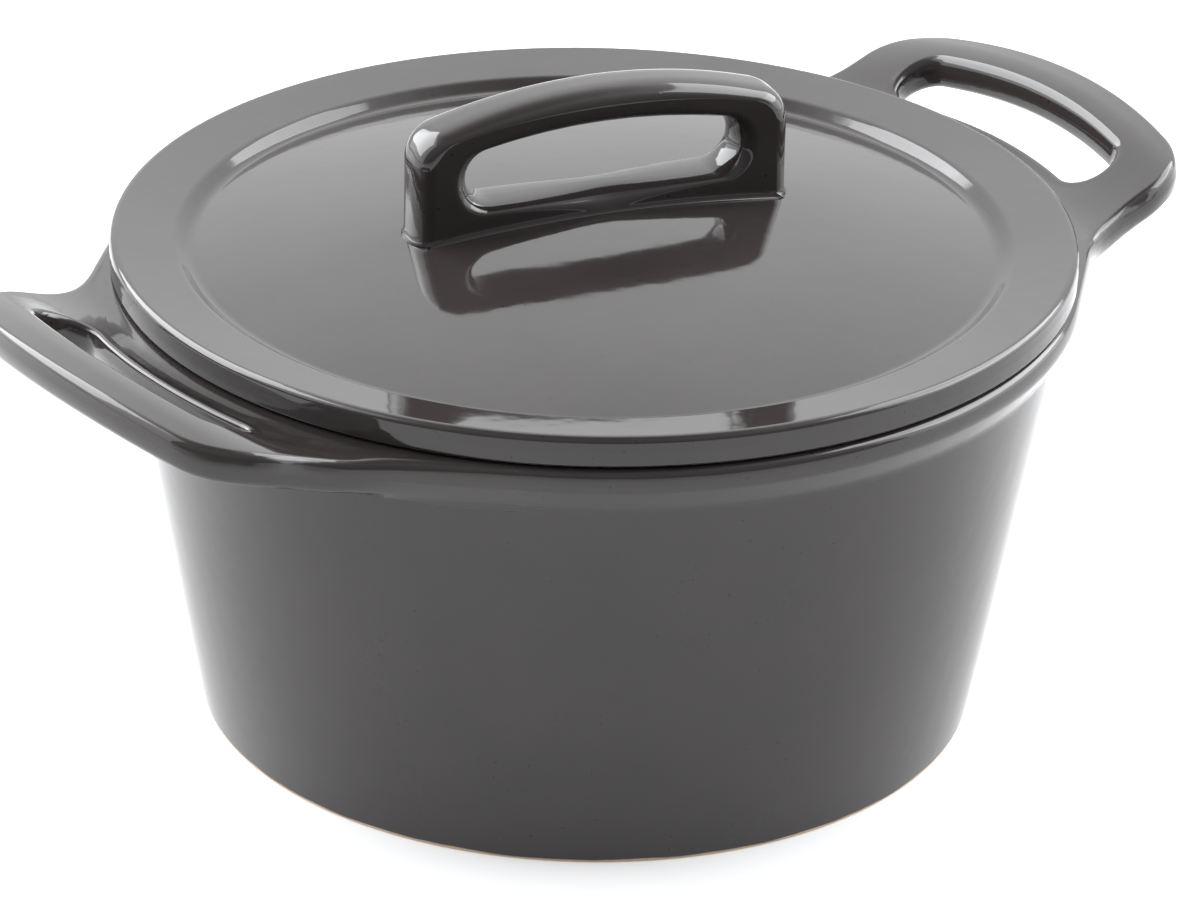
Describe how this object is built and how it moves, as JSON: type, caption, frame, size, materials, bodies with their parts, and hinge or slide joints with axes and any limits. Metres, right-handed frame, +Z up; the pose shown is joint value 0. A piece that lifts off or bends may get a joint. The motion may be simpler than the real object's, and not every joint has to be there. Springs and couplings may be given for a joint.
{
  "type": "round dutch oven",
  "caption": "Round glazed stoneware dutch oven: tapered pot with rolled rim and rising loop handles, domed lift-off lid with a bridge grip.",
  "frame": {"origin": "centre of the foot ring, on the surface the pot stands on", "axes": "+X through the middle of one side handle, +Z up along the pot's turning axis"},
  "size_m": [0.3456, 0.262, 0.1785],
  "materials": {
    "pot_glaze": "glossy warm dark grey glaze, bare clay on the foot ring",
    "lid_glaze": "glossy warm dark grey glaze",
    "grip_glaze": "glossy warm dark grey glaze"
  },
  "bodies": {
    "pot": {"pot": "pot_glaze"},
    "lid": {"lid": "lid_glaze", "lid_handle": "grip_glaze"}
  },
  "joints": [
    {"name": "lid_lift", "type": "slide", "parent": "pot", "child": "lid", "axis": [0, 0, 1], "range_m": [0, 0.15]}
  ]
}
